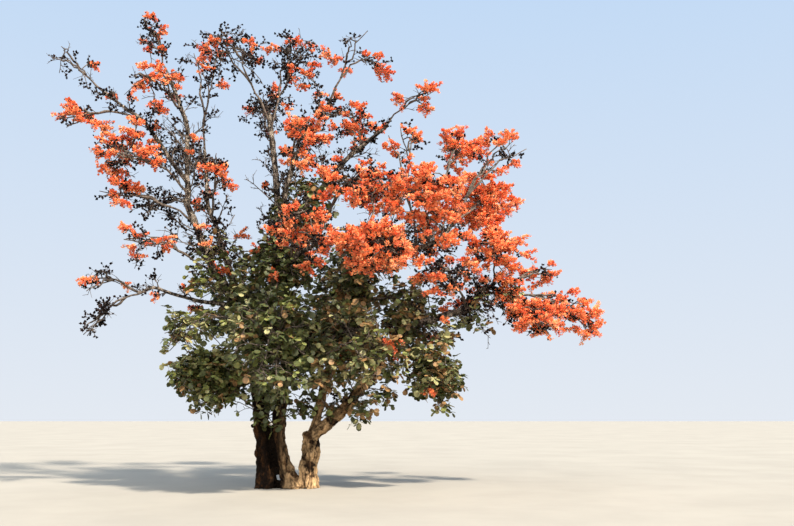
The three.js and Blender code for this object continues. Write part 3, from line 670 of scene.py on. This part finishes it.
def joinParts(parts):
    vertices, faceLists, shift = [], [], 0
    for points, faces in parts:
        vertices.append(points)
        faceLists += [face + shift for face in faces]
        shift += len(points)
    return np.concatenate(vertices), faceLists


rng = np.random.RandomState(twigPlan["seed"])
parts = [twigTubes(level, rng) for level in ("stems", "mains", "sides")]
branchlets = meshObject("branchlets", *joinParts(parts), smooth=True)
spurs = meshObject("spur_twigs", *twigTubes("spurs", rng))
print("stage: twigs made", len(branchlets.data.polygons), len(spurs.data.polygons))

# One flower along +X: a curved beaked keel, a banner petal turned back above it and two small wings.
# On the crown's right side more flowers take the pale tone, painted sunlight there, and fewer carry
# calyxes.
flowerPlan = dict(
    seed=31, size=(0.066, 0.090), spacing=0.0225, first=0.0, outward=0.75, forward=0.65, roll=0.5,
    tones=("blossom_bright", "blossom_deep", "blossom_pale"), shares=(0.46, 0.34, 0.20),
    paintedSunShares=(0.50, 0.20, 0.30), paintedSunFrom=2.4)
flowerPoints = np.array([
    (0.0, 0.0, 0.0), (0.48, 0.0, -0.28), (0.50, 0.19, -0.02), (0.50, -0.19, -0.02), (1.0, 0.0, 0.10),
    (0.06, 0.0, 0.05), (0.42, 0.42, 0.34), (0.80, 0.0, 0.60), (0.42, -0.42, 0.34),
    (0.10, 0.0, 0.0), (0.60, 0.40, -0.04), (0.84, 0.12, 0.02), (0.60, -0.40, -0.04), (0.84, -0.12, 0.02)])
flowerFaces = np.array([
    (0, 1, 2), (0, 2, 3), (0, 3, 1), (4, 2, 1), (4, 3, 2), (4, 1, 3),
    (5, 7, 6), (5, 8, 7), (9, 10, 11), (9, 13, 12)])

# One calyx or bud: a small closed spindle, fullest near its middle
budPoints = np.array([(0.0, 0.0, 0.0), (0.50, 0.0, 0.42), (0.50, 0.36, -0.21), (0.50, -0.36, -0.21),
                      (1.0, 0.0, 0.0)])
budFaces = np.array([(0, 1, 2), (0, 2, 3), (0, 3, 1), (4, 2, 1), (4, 3, 2), (4, 1, 3)])
budPlan = dict(
    calyx=(0.038, 0.052), calyxShare=0.28, openShare=0.08, calyxStand=0.8, bud=(0.054, 0.090),
    spacing=0.060, lineSpacing=0.070, first=0.1, outward=0.8, forward=0.7, roll=6,
    tones=("buds_dark", "buds_brown"), shares=(0.68, 0.32))
sprayLift = 0.25
sprayStray = 0.22


# Places along each spray's path, by length, with the direction of a thing that stands out from it
def alongSprays(paths, plan, spacing, rng):
    first = plan["first"]
    lengths = np.linalg.norm(paths[:, -1] - paths[:, 0], axis=1)
    counts = np.maximum(2, (lengths * (1 - first) / spacing + rng.rand(len(paths))).astype(int))
    owner = np.repeat(np.arange(len(paths)), counts)
    order = np.arange(len(owner)) - np.repeat(np.cumsum(counts) - counts, counts)
    shares = first + (1 - first) * (order + rng.uniform(0, 1, len(owner))) / counts[owner]
    places, tangents = alongPaths(paths[owner], shares)
    turns = order * goldenAngle + rng.uniform(0, growth["twigTurn"], len(paths))[owner]
    axes = framesAlong(tangents, turns)
    directions = axes[:, :, 1] * plan["outward"] + axes[:, :, 0] * plan["forward"] + [0, 0, sprayLift]
    return places, unit(directions + rng.normal(0, sprayStray, (len(owner), 3))), owner


# Which tone each thing gets, by the tones' shares
def dealTones(count, shares, rng):
    withinShares = 0.999
    return np.searchsorted(np.cumsum(shares), rng.rand(count) * withinShares)


pieces = {}
rng = np.random.RandomState(flowerPlan["seed"])
racemes = sprays["raceme"]
places, directions, owner = alongSprays(racemes, flowerPlan, flowerPlan["spacing"], rng)
plain, sunny = [dealTones(len(racemes), flowerPlan[name], rng) for name in ("shares", "paintedSunShares")]
# The paler mix on the crown's right side is painted sunlight
tone = np.where(racemes[:, 0, 0] < flowerPlan["paintedSunFrom"], plain, sunny)[owner]
rolls = rng.normal(0, flowerPlan["roll"], len(places))
sizes = rng.uniform(*flowerPlan["size"], len(places))
for number, name in enumerate(flowerPlan["tones"]):
    chosen = tone == number
    pieces[name] = meshObject(name, *stampMany(flowerPoints, flowerFaces, directions[chosen], rolls[chosen],
                                               sizes[chosen], places[chosen]))
print("stage: flowers made", len(places))

share = np.where(places[:, 0] < flowerPlan["paintedSunFrom"], budPlan["calyxShare"], budPlan["openShare"])
chosen = rng.rand(len(places)) < share
calyxSizes = rng.uniform(*budPlan["calyx"], chosen.sum())
stand = sizes[chosen] * rng.uniform(0, 1, chosen.sum()) * budPlan["calyxStand"]
calyxPlaces = places[chosen] + directions[chosen] * stand[:, None]
pieces["calyxes"] = meshObject("calyxes", *stampMany(budPoints, budFaces, directions[chosen], rolls[chosen],
                                                     calyxSizes, calyxPlaces), smooth=True)

onSpikes = alongSprays(sprays["bud"], budPlan, budPlan["spacing"], rng)
onLines = alongSprays(np.concatenate(budLines), budPlan, budPlan["lineSpacing"], rng)
places, directions = [np.concatenate(both) for both in zip(onSpikes[:2], onLines[:2])]
tone = dealTones(len(places), budPlan["shares"], rng)
sizes = rng.uniform(*budPlan["bud"], len(places))
for number, name in enumerate(budPlan["tones"]):
    chosen = tone == number
    rolls = rng.uniform(0, budPlan["roll"], chosen.sum())
    pieces[name] = meshObject(name, *stampMany(budPoints, budFaces, directions[chosen], rolls,
                                               sizes[chosen], places[chosen]), smooth=True)
print("stage: buds made", len(places))

# One leaflet along +X, broad and blunt, folded a little along its midrib
leafletPoints = np.array([(0.0, 0.0, 0.0), (0.26, 0.36, 0.05), (0.66, 0.47, 0.03), (0.97, 0.2, -0.05),
                          (0.97, -0.2, -0.05), (0.66, -0.47, 0.03), (0.26, -0.36, 0.05), (0.5, 0.0, -0.05)])
leafletFaces = np.array([(0, 7, 1), (1, 7, 2), (2, 7, 3), (3, 7, 4), (4, 7, 5), (5, 7, 6), (6, 7, 0)])
# Left of shadyFrom leaves take the mix for full light; from there on more take the dark tone, painted shade
# for the crown's shaded middle; right of brownFrom they are browner.
leafPlan = dict(
    size=(0.095, 0.155), spacing=0.10, first=0.2, outward=0.8, forward=0.6, stalk=(0.07, 0.13),
    stalkRadius=0.003, stalkCorners=3, droop=-0.75, hangStray=0.3, roll=0.5, sideSize=0.85, sideBack=0.03,
    sideTurn=0.55, headingStray=0.12, tones=("leaves_dark", "leaves_fresh", "leaves_olive", "leaves_tan"),
    leftShares=(0.36, 0.25, 0.29, 0.10), shadyShares=(0.68, 0.12, 0.12, 0.08),
    brownShares=(0.42, 0.08, 0.22, 0.28), shadyFrom=-0.9, brownFrom=0.7)

places, directions, _ = alongSprays(sprays["leaf"], leafPlan, leafPlan["spacing"], rng)
left, shady, brown = [dealTones(len(places), leafPlan[name], rng)
                      for name in ("leftShares", "shadyShares", "brownShares")]
# More dark leaves in the middle of the crown: painted shade
tone = np.where(places[:, 0] < leafPlan["shadyFrom"], left,
                np.where(places[:, 0] < leafPlan["brownFrom"], shady, brown))
stalkEnds = places + directions * rng.uniform(*leafPlan["stalk"], len(places))[:, None]
hang = directions + np.array([0, 0, leafPlan["droop"]])
hang = unit(hang + rng.normal(0, leafPlan["hangStray"], directions.shape))
side = unit(np.cross(hang, [0, 0, 1]))
sizes = rng.uniform(*leafPlan["size"], len(places))
stalkTubes = tubes(np.stack([places, stalkEnds], 1), leafPlan["stalkRadius"], leafPlan["stalkCorners"])
pieces["leaf_stalks"] = meshObject("leaf_stalks", *stalkTubes)
for number, name in enumerate(leafPlan["tones"]):
    chosen = tone == number
    parts = []
    for turn in (0, 1, -1):
        stray = rng.normal(0, leafPlan["headingStray"], (chosen.sum(), 3))
        heading = hang[chosen] * (1 - leafPlan["sideTurn"] * abs(turn)) + side[chosen] * turn + stray
        rolls = rng.normal(0, leafPlan["roll"], chosen.sum())
        leafletSizes = sizes[chosen] * (leafPlan["sideSize"] if turn else 1)
        origins = stalkEnds[chosen] - hang[chosen] * leafPlan["sideBack"] * abs(turn)
        parts.append(stampMany(leafletPoints, leafletFaces, heading, rolls, leafletSizes, origins))
    pieces[name] = meshObject(name, *joinParts(parts), smooth=True)
print("stage: leaves made", len(places))


def setInputs(node, values):
    for socket, value in values.items():
        node.inputs[socket.replace("_", " ")].default_value = value


# A new material with its Principled shader
def newMaterial(name, roughness, **values):
    material = bpy.data.materials.new(name)
    material.use_nodes = True
    shader = material.node_tree.nodes["Principled BSDF"]
    setInputs(shader, {"Roughness": roughness, **values})
    return material, shader


# Adds a node. Feeds name the node and output behind each linked input, modes are the node's own
# settings, and all else is a plain value for an input.
def addNode(tree, kind, place, feeds=None, modes=None, **values):
    node = tree.nodes.new(kind)
    node.location = place
    for mode, value in (modes or {}).items():
        setattr(node, mode, value)
    setInputs(node, values)
    for socket, (source, output) in (feeds or {}).items():
        tree.links.new(source.outputs[output], node.inputs[socket])
    return node


def mixColours(tree, place, blend, feeds, **values):
    modes = {"data_type": "RGBA", "blend_type": blend}
    return addNode(tree, "ShaderNodeMix", place, feeds, modes, **values)


# A node group shared by all finishes: two colours mottled by noise that may be drawn out along Z. The
# light colour is whole where the noise reaches mottleTop.
mottleTop = 0.62


def mottleGroup():
    group = bpy.data.node_groups.new("mottle", "ShaderNodeTree")
    newSocket = group.interface.new_socket
    for name, kind, value in (("Light", "Color", (1, 1, 1, 1)), ("Dark", "Color", (0, 0, 0, 1)),
                              ("Scale", "Float", 6.0), ("Draw", "Float", 1.0), ("Contrast", "Float", 0.5)):
        newSocket(name=name, in_out="INPUT", socket_type="NodeSocket" + kind).default_value = value
    newSocket(name="Color", in_out="OUTPUT", socket_type="NodeSocketColor")
    newSocket(name="Height", in_out="OUTPUT", socket_type="NodeSocketFloat")
    given = addNode(group, "NodeGroupInput", (-900, 0))
    place = addNode(group, "ShaderNodeTexCoord", (-900, 300))
    stretch = addNode(group, "ShaderNodeCombineXYZ", (-700, 100), {"Z": (given, "Draw")}, X=1.0, Y=1.0)
    drawn = addNode(group, "ShaderNodeVectorMath", (-500, 200),
                    {0: (place, "Object"), 1: (stretch, "Vector")}, {"operation": "MULTIPLY"})
    coarse = addNode(group, "ShaderNodeTexNoise", (-300, 200),
                     {"Vector": (drawn, "Vector"), "Scale": (given, "Scale")}, Detail=6.0, Roughness=0.62)
    low = addNode(group, "ShaderNodeMath", (-300, -100), {1: (given, "Contrast")},
                  {"operation": "SUBTRACT"}, Value=mottleTop)
    spread = addNode(group, "ShaderNodeMapRange", (-80, 200),
                     {"Value": (coarse, "Fac"), "From Min": (low, "Value")}, From_Max=mottleTop)
    blend = mixColours(group, (200, 100), "MIX", {"Factor": (spread, "Result"), "A": (given, "Dark"),
                                                  "B": (given, "Light")})
    addNode(group, "NodeGroupOutput", (500, 0), {"Color": (blend, "Result"), "Height": (spread, "Result")})
    return group


mottle = mottleGroup()


def addMottle(tree, place, **values):
    return addNode(tree, "ShaderNodeGroup", place, None, {"node_tree": mottle}, **values)


def mottleAll(material, shader, light, dark, scale):
    tree = material.node_tree
    node = addMottle(tree, (-500, 200), Light=(*light, 1), Dark=(*dark, 1), Scale=scale, Contrast=0.25)
    tree.links.new(node.outputs["Color"], shader.inputs["Base Color"])


# Bark: grey-brown plates over furrows darkened by painted shade, with tan patches low on the trunk, partly
# the bark's own tan and partly painted sunlight on its right side, and painted shade on its left side
barkLook = dict(
    light=(0.20, 0.105, 0.048), dark=(0.020, 0.010, 0.005), paintedShade=(0.012, 0.007, 0.004), roughness=0.88,
    shine=0.12, scale=7.0, draw=0.45, contrast=0.17, fineScale=4, fineContrast=0.35, fineDark=0.25,
    fineShare=0.7, bump=1.0, bumpDistance=0.04, tan=(0.96, 0.61, 0.31), tanHeight=(2.8, 0.2),
    paintedSunSide=(-0.16, 0.20), patchScale=5.0, patchEdge=(0.41, 0.51), shade=(0.46, 0.35, 0.22),
    shadeSide=(-0.08, -0.34))
boughLook = dict(barkLook, light=(0.74, 0.60, 0.47), dark=(0.070, 0.054, 0.042), scale=14.0)


# Lays patches of tan bark low on the trunk, kept to its right side as painted sunlight, and darkens the
# left side with painted shade.
def addTanAndPaintedLight(tree, bark, look):
    place = addNode(tree, "ShaderNodeTexCoord", (-1100, -500))
    split = addNode(tree, "ShaderNodeSeparateXYZ", (-900, -500), {"Vector": (place, "Object")})
    patch = addNode(tree, "ShaderNodeTexNoise", (-900, -900), {"Vector": (place, "Object")},
                    Scale=look["patchScale"], Detail=6.0)
    spans = ((split, "Z", look["tanHeight"]), (split, "X", look["paintedSunSide"]),
             (patch, "Fac", look["patchEdge"]), (split, "X", look["shadeSide"]))
    fades = [addNode(tree, "ShaderNodeMapRange", (-700, -400 - 250 * number), {"Value": (source, output)},
                     From_Min=start, From_Max=end)
             for number, (source, output, (start, end)) in enumerate(spans)]
    mask = fades[2]
    for fade in fades[:2]:
        mask = addNode(tree, "ShaderNodeMath", (-450, -600), {0: (fade, 0), 1: (mask, 0)},
                       {"operation": "MULTIPLY"})
    # Tan patches: partly the bark's own tan, partly painted sunlight on the right side
    tanAndPaintedSun = mixColours(tree, (50, 100), "MIX", {"Factor": (mask, 0), "A": bark}, B=(*look["tan"], 1))
    # Painted shade on the left side of the trunk
    shaded = mixColours(tree, (250, 100), "MULTIPLY", {"Factor": (fades[3], 0), "A": (tanAndPaintedSun, "Result")},
                        B=(*look["shade"], 1))
    return shaded, "Result"


def barkMaterial(name, look, tan):
    material, shader = newMaterial(name, look["roughness"], Specular_IOR_Level=look["shine"])
    tree = material.node_tree
    bark = (addMottle(tree, (-500, 200), Light=(*look["light"], 1), Dark=(*look["dark"], 1),
                      Scale=look["scale"], Draw=look["draw"], Contrast=look["contrast"]), "Color")
    if tan:
        bark = addTanAndPaintedLight(tree, bark, look)
    fine = addMottle(tree, (-500, -200), Scale=look["scale"] * look["fineScale"], Draw=look["draw"],
                     Contrast=look["fineContrast"])
    grain = addNode(tree, "ShaderNodeMapRange", (-330, -50), {"Value": (fine, "Height")},
                    To_Min=look["fineDark"])
    grained = mixColours(tree, (350, 200), "MULTIPLY", {"A": bark, "B": (grain, "Result")},
                         Factor=look["fineShare"])
    # Mixes the painted shade of the furrows and the hollow into the bark's colour
    depth = addNode(tree, "ShaderNodeAttribute", (250, -250), None, {"attribute_name": "paintedShade"})
    sunk = mixColours(tree, (450, 100), "MIX", {"Factor": (depth, "Fac"), "A": (grained, "Result")},
                      B=(*look["paintedShade"], 1))
    bump = addNode(tree, "ShaderNodeBump", (-150, -250), {"Height": (fine, "Height")},
                   Strength=look["bump"], Distance=look["bumpDistance"])
    tree.links.new(sunk.outputs["Result"], shader.inputs["Base Color"])
    tree.links.new(bump.outputs["Normal"], shader.inputs["Normal"])
    return material


# Small things: one plain colour for each tone, with only a faint mottle of it. Vary is the mottle's
# darker end, and through is the light that comes through.
plainTone = dict(roughness=0.55, sheen=0.0, through=0.0, shine=0.5)
budTone = dict(roughness=0.85, sheen=0.0, through=0.0, shine=0.1)
tonePlan = {
    "blossom_bright": dict(plainTone, colour=(0.93, 0.230, 0.066), vary=0.88, sheen=0.15, through=0.20),
    "blossom_deep": dict(plainTone, colour=(0.84, 0.160, 0.046), vary=0.82, roughness=0.60, sheen=0.15,
                         through=0.18),
    "blossom_pale": dict(plainTone, colour=(0.96, 0.340, 0.130), vary=0.90, sheen=0.20, through=0.20),
    "calyxes": dict(budTone, colour=(0.014, 0.007, 0.006), vary=0.55),
    "buds_dark": dict(budTone, colour=(0.006, 0.004, 0.005), vary=0.55),
    "buds_brown": dict(budTone, colour=(0.028, 0.014, 0.012), vary=0.60),
    "leaves_dark": dict(plainTone, colour=(0.076, 0.086, 0.022), vary=0.50, through=0.12),
    "leaves_fresh": dict(plainTone, colour=(0.222, 0.238, 0.062), vary=0.55, through=0.15),
    "leaves_olive": dict(plainTone, colour=(0.345, 0.320, 0.135), vary=0.60, roughness=0.60, through=0.12),
    "leaves_tan": dict(plainTone, colour=(0.330, 0.185, 0.070), vary=0.45, roughness=0.60, through=0.10),
    "leaf_stalks": dict(plainTone, colour=(0.170, 0.180, 0.070), vary=0.75),
}
toneScale = 14.0
twigLook = dict(light=(0.170, 0.132, 0.104), dark=(0.036, 0.027, 0.022), scale=22.0)

trunk.data.materials.append(barkMaterial("trunk_bark", barkLook, True))
boughs.data.materials.append(barkMaterial("bough_bark", boughLook, False))
twigMaterial, twigShader = newMaterial("twig_bark", 0.85, Specular_IOR_Level=0.2)
mottleAll(twigMaterial, twigShader, twigLook["light"], twigLook["dark"], twigLook["scale"])
branchlets.data.materials.append(twigMaterial)
spurs.data.materials.append(twigMaterial)
for name, piece in pieces.items():
    tone = tonePlan[name]
    material, shader = newMaterial(name, tone["roughness"], Sheen_Weight=tone["sheen"],
                                   Subsurface_Weight=tone["through"], Subsurface_Scale=0.02,
                                   Specular_IOR_Level=tone["shine"])
    mottleAll(material, shader, tone["colour"], np.array(tone["colour"]) * tone["vary"], toneScale)
    piece.data.materials.append(material)
print("stage: materials made")

massOf = {kind: [name for name, row in zip(massNames, massRows) if row[1] == kind]
          for kind in ("blossom", "budded", "leafy")}
for name, piece in pieces.items():
    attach(piece, "root")
for piece in (trunk, boughs, branchlets, spurs):
    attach(piece, "root")
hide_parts(*footNodes)
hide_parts(*thinLimbs)
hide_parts(*massNames)
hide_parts(*massNames)
for name in (*flowerPlan["tones"], "calyxes", *budPlan["tones"]):
    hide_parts(*massOf["blossom"], *massOf["budded"])
for name in ("leaf_stalks", *leafPlan["tones"]):
    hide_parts(*massOf["leafy"])

# Pale floor, hazy sky, a soft sun from the right, high up and in front, and a wide, weaker light
# from the front
lightPlan = dict(
    sunStrength=7.8, sunColour=(1.0, 0.92, 0.80), sunTurn=(48, 4, 42), sunSpread=4.0, fillStrength=2.25,
    fillColour=(1.0, 0.94, 0.84), fillTurn=(66, 0, -16), fillSpread=90.0, skyTop=(0.50, 0.68, 0.92),
    skyLow=(0.77, 0.82, 0.89), skyTopAt=0.55, skyStrength=1.0, floorColour=(0.37, 0.335, 0.28),
    floorVary=0.9, floorScale=0.4, floorSize=320.0)
bpy.ops.mesh.primitive_plane_add(size=lightPlan["floorSize"], location=(0, 0, 0))
floor = active()
floor.name = "floor"
floorMaterial, floorShader = newMaterial("pale_floor", 0.95)
mottleAll(floorMaterial, floorShader, lightPlan["floorColour"],
          np.array(lightPlan["floorColour"]) * lightPlan["floorVary"], lightPlan["floorScale"])
floor.data.materials.append(floorMaterial)

for name in ("sun", "fill"):
    light = bpy.data.lights.new(name, "SUN")
    light.energy = lightPlan[name + "Strength"]
    light.color = lightPlan[name + "Colour"]
    light.angle = math.radians(lightPlan[name + "Spread"])
    newObject(name, light).rotation_euler = [math.radians(a) for a in lightPlan[name + "Turn"]]

world = bpy.data.worlds.new("hazy_sky")
world.use_nodes = True
bpy.context.scene.world = world
tree = world.node_tree
background = tree.nodes["Background"]
background.inputs["Strength"].default_value = lightPlan["skyStrength"]
place = addNode(tree, "ShaderNodeTexCoord", (-800, 0))
split = addNode(tree, "ShaderNodeSeparateXYZ", (-600, 0), {"Vector": (place, "Generated")})
ramp = addNode(tree, "ShaderNodeValToRGB", (-400, 0), {"Fac": (split, "Z")})
low, top = ramp.color_ramp.elements
low.color = (*lightPlan["skyLow"], 1)
top.color = (*lightPlan["skyTop"], 1)
top.position = lightPlan["skyTopAt"]
tree.links.new(ramp.outputs["Color"], background.inputs["Color"])

# The camera stands at eye height and looks up a little, as in the photograph.
cameraPlace = dict(
    sideways=2.305, distance=17.8, eyeHeight=1.5, pitchUp=10.21, lens=38.0, sensorWidth=36.0,
    farthest=500)
camera = bpy.data.cameras.new("camera")
camera.lens = cameraPlace["lens"]
camera.sensor_width = cameraPlace["sensorWidth"]
camera.clip_end = cameraPlace["farthest"]
cameraObject = newObject("camera", camera)
cameraObject.location = (cameraPlace["sideways"], -cameraPlace["distance"], cameraPlace["eyeHeight"])
cameraObject.rotation_euler = (math.radians(90 + cameraPlace["pitchUp"]), 0, 0)
bpy.context.scene.camera = cameraObject
bpy.context.scene.view_settings.view_transform = "Standard"

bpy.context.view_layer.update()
triangles = {piece.name: sum(len(p.vertices) - 2 for p in piece.data.polygons)
             for piece in (trunk, boughs, branchlets, spurs, *pieces.values())}
print("stage: triangles", triangles, sum(triangles.values()))
